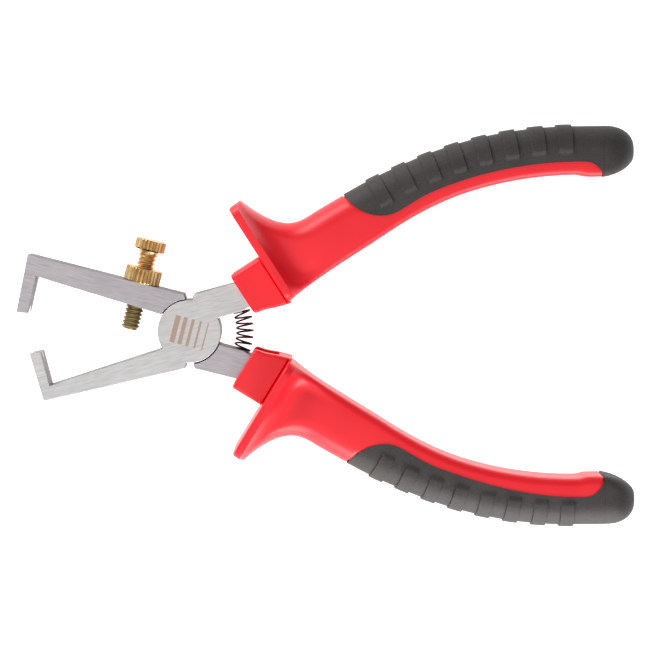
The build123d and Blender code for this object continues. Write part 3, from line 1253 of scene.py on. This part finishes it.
@dataclass
class SoftGrip:
    """The black soft overmould with its raised pads."""

    shape: GripShape
    node: str
    body: str
    line: SoftLine = SoftLine()
    proud: float = 0.16
    thickness: float = 1.3
    pad_count: int = 8
    pad_first: float = 43.5
    pad_pitch: float = 6.9
    pad_length: float = 3.6
    pad_height: float = 0.5
    pad_inner: float = -0.5
    pad_fade: float = 0.9
    pad_taper: float = 1.2
    pad_edge: float = 0.14
    columns: int = 30

    def build(self, material: bpy.types.Material) -> bpy.types.Object:
        """Builds the piece that stands for the CAD overmould.

        Args:
            material: The rubber finish.

        Returns:
            The piece.
        """
        bm = bmesh.new()
        strips = [self._strip(bm, run) for run in self._runs()]
        for before, after in zip(strips, strips[1:]):
            bmesh.ops.bridge_loops(bm, edges=before + after)
        bmesh.ops.remove_doubles(bm, verts=bm.verts, dist=0.01)
        bmesh.ops.holes_fill(bm, edges=self._tip_edges(bm), sides=0)
        bmesh.ops.recalc_face_normals(bm, faces=bm.faces)
        bmesh.ops.solidify(bm, geom=bm.faces[:], thickness=self.thickness)
        piece = to_piece(bm, self.node.replace("_soft_grip", "_rubber_grip"), material, sharp=50.0)
        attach(piece, self.body)
        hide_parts(self.node)
        return piece

    @property
    def pad_start(self) -> float:
        """Where the first pad begins."""
        return self.pad_first - self.pad_length / 2

    def _runs(self) -> list[float]:
        """Where the strips go, with close pairs at the pads' ends.

        Returns:
            The distances along the centreline.
        """
        line, shape = self.line, self.shape
        round_start = shape.length - shape.end_round
        lobe = (0.06, 0.2, 0.45, 0.8, 1.3, 2.0, 2.8, 3.7, 4.6, 5.4, 6.0)
        runs = [line.start + step for step in lobe]
        for pad in range(self.pad_count):
            first = self.pad_start + pad * self.pad_pitch
            last = first + self.pad_length
            runs += [first + step for step in (-0.22, -0.02, 0.14, 0.5, 1.0, 1.5, 2.0, 2.5)]
            runs += [last + step for step in (-0.5, -0.1, 0.02, 1.1, 2.1)]
        runs += spread(line.turn_in, line.end - 0.25, 9) + [line.end - 0.12, line.end - 0.03]
        runs += spread(line.end, round_start, 2)
        return runs + [round_start + shape.end_round * share for share in QUARTER]

    def _lift(self, run: float, offset: float) -> float:
        """How far a pad raises the surface at a point.

        Args:
            run: The distance along the centreline.
            offset: The distance outwards from it.

        Returns:
            The lift.
        """
        into = (run - self.pad_start) % self.pad_pitch
        inside = self.pad_start <= run < self.pad_start + self.pad_count * self.pad_pitch
        if not inside or into > self.pad_length:
            return 0.0
        across = ease((offset - self.pad_inner) / self.pad_fade)
        along = ease((into - self.pad_taper * (1 - across)) / self.pad_edge)
        return self.pad_height * across * along

    def _half_path(self, run: float, below: bool) -> list[Vector]:
        """Evenly spaced points from the soft grip's edge on one face to its outer side.

        Args:
            run: The distance along the centreline.
            below: Whether it is the lower face.

        Returns:
            The points, as offset and rise.
        """
        outline = self.shape.section(run, self.proud).outline()
        if below:
            outline = outline[:1] + outline[:0:-1]
        path = [Vector((t, z)) for t, z in outline[: len(outline) // 2 + 1]]
        edge = self.line.offset(run)
        while len(path) > 2 and path[1].x < edge:
            path.pop(0)
        if path[0].x < edge < path[1].x:
            path[0] = path[0].lerp(path[1], (edge - path[0].x) / (path[1].x - path[0].x))
        reaches = [0.0]
        for before, after in zip(path, path[1:]):
            reaches.append(reaches[-1] + (after - before).length)
        points, at = [], 0
        for reach in spread(0.0, reaches[-1], self.columns):
            while at < len(path) - 2 and reaches[at + 1] < reach:
                at += 1
            step = max(reaches[at + 1] - reaches[at], 1e-9)
            points.append(path[at].lerp(path[at + 1], min((reach - reaches[at]) / step, 1.0)))
        return points

    def _strip(self, bm: bmesh.types.BMesh, run: float) -> Edges:
        """A strip of edges round the outer side, from edge to edge.

        Args:
            bm: The mesh to add to.
            run: The distance along the centreline.

        Returns:
            The edges.
        """
        path = self._half_path(run, False) + self._half_path(run, True)[-2::-1]
        raised = [p * (1 + self._lift(run, p.x) / max(p.length, 1e-6)) for p in path]
        around = [self.shape.place(run, point.x, point.y) for point in raised]
        made = [bm.verts.new(point) for point in around]
        return [bm.edges.new(pair) for pair in zip(made, made[1:])]

    def _tip_edges(self, bm: bmesh.types.BMesh) -> Edges:
        """The open edges at the grip's very end."""
        last = self.shape.place(self.shape.length, 0.0, 0.0).x - 0.01
        return [e for e in bm.edges if e.is_boundary and all(v.co.x > last for v in e.verts)]


# ------------------------------------------------------------------ scene
@dataclass(frozen=True)
class SoftBox:
    """A rectangular light: its middle and size in millimetres, and its power in watts."""

    name: str
    place: tuple[float, float, float]
    size: tuple[float, float]
    power: float

    def hang(self, target: Vector) -> None:
        """Makes the light and turns it towards a point.

        Args:
            target: The point that it faces.
        """
        data = bpy.data.lights.new(self.name, "AREA")
        data.shape = "RECTANGLE"
        data.size, data.size_y = self.size[0] * MM, self.size[1] * MM
        data.energy = self.power
        light = bpy.data.objects.new(self.name, data)
        bpy.context.scene.collection.objects.link(light)
        middle = Vector(self.place)
        turn = (target - middle).normalized().to_track_quat("-Z", "Y").to_matrix().to_4x4()
        light.matrix_world = Matrix.Translation(middle * MM) @ turn


@dataclass
class Studio:
    """A pale table, soft boxes above and at both sides, and a camera above, in millimetres."""

    target: Vector = field(default_factory=lambda: Vector((35.45, 1.3, 8.0)))
    distance: float = 600.0
    tilt: float = math.radians(4.3)
    roll: float = math.radians(-0.68)
    width: float = 168.4
    sensor: float = 36.0
    table_height: float = -16.0
    table_glow: float = 0.75
    surround: float = 0.28
    boxes: tuple[SoftBox, ...] = (
        SoftBox("key_box", (-150.0, -190.0, 820.0), (950.0, 800.0), 2.1),
        SoftBox("near_box", (60.0, -360.0, 120.0), (420.0, 240.0), 2.3),
        SoftBox("far_box", (-230.0, 300.0, 130.0), (320.0, 200.0), 1.3),
    )

    def build(self) -> None:
        """Makes the camera, the lights, the world and the table."""
        self._camera()
        self._world()
        self._table()
        for box in self.boxes:
            box.hang(self.target)

    def _camera(self) -> None:
        """A long lens above the tool, leaning a little towards its upper side."""
        data = bpy.data.cameras.new("camera")
        data.sensor_width = self.sensor
        data.lens = self.sensor * self.distance / self.width
        data.clip_end = 10.0
        camera = bpy.data.objects.new("camera", data)
        bpy.context.scene.collection.objects.link(camera)
        away = Vector((0.0, math.sin(self.tilt), math.cos(self.tilt)))
        right = Vector((math.cos(self.roll), math.sin(self.roll), 0.0))
        up = away.cross(right)
        turn = Matrix((right, up, away)).transposed().to_4x4()
        camera.matrix_world = Matrix.Translation((self.target + away * self.distance) * MM) @ turn
        bpy.context.scene.camera = camera

    def _world(self) -> None:
        """An even pale surround, shown without a film look."""
        world = bpy.data.worlds.new("studio")
        world.use_nodes = True
        background = world.node_tree.nodes["Background"]
        background.inputs["Color"].default_value = (1.0, 1.0, 1.0, 1.0)
        background.inputs["Strength"].default_value = self.surround
        bpy.context.scene.world = world
        bpy.context.scene.view_settings.view_transform = "Standard"

    def _table(self) -> None:
        """A wide plain table that glows a little, so that it has no shadow."""
        bm = bmesh.new()
        bmesh.ops.create_grid(bm, x_segments=1, y_segments=1, size=2.0)
        bmesh.ops.translate(bm, vec=(0, 0, self.table_height * MM), verts=bm.verts)
        mesh = bpy.data.meshes.new("table")
        bm.to_mesh(mesh)
        bm.free()
        table = bpy.data.objects.new("table", mesh)
        bpy.context.scene.collection.objects.link(table)
        matt = {"Base Color": (0.8, 0.8, 0.8), "Roughness": 0.9, "Specular IOR Level": 0.0}
        glow = {"Emission Strength": self.table_glow, "Emission Color": (1, 1, 1)}
        recipe = Recipe("table_white", {**matt, **glow})
        mesh.materials.append(recipe.material)


def build_levers() -> None:
    """Both ground steel levers and the rivet."""
    rear = GroundSteel(
        "ground_steel_rear",
        light=(0.59, 0.55, 0.575),
        dark=(0.37, 0.345, 0.365),
        grain_angle=math.radians(-14.5),
    )
    front = GroundSteel(
        "ground_steel_front",
        light=(0.735, 0.715, 0.715),
        dark=(0.485, 0.47, 0.468),
        grain_angle=math.radians(14.0),
        mark=GaugeMark(),
    )
    Lever("rear_lever", "rear_half", rear).build()
    Lever("front_lever", "front_half", front).build()
    rivet = frame["nodes"]["pivot_rivet"]
    rivet.data.materials.clear()
    rivet.data.materials.append(replace(front, name="ground_steel_rivet").make())
    LOG.info("pivot_rivet: the CAD node, dressed")


def build_screw() -> None:
    """The setting screw and its lock nut."""
    stand = ScrewStand()
    SettingScrew(stand).build()
    LockNut(stand).build()


def build_grips() -> None:
    """Both grips, each a red sleeve with a black overmould."""
    red, black = MouldedRed("moulded_red").make(), MattRubber("matt_rubber").make()
    for side, prefix, body, line in (
        (Side.UPPER, "upper", "front_half", SoftLine()),
        (Side.LOWER, "lower", "rear_half", SoftLine(widening=1.2)),
    ):
        shape = GripShape(side)
        RedSleeve(shape, f"{prefix}_red_sleeve", body, line).build(red)
        SoftGrip(shape, f"{prefix}_soft_grip", body, line).build(black)


def main() -> None:
    """Builds every piece and the studio."""
    logging.basicConfig(level=logging.INFO)
    build_levers()
    build_screw()
    ReturnSpring().build()
    build_grips()
    Studio().build()


if __name__ == "__main__":
    main()
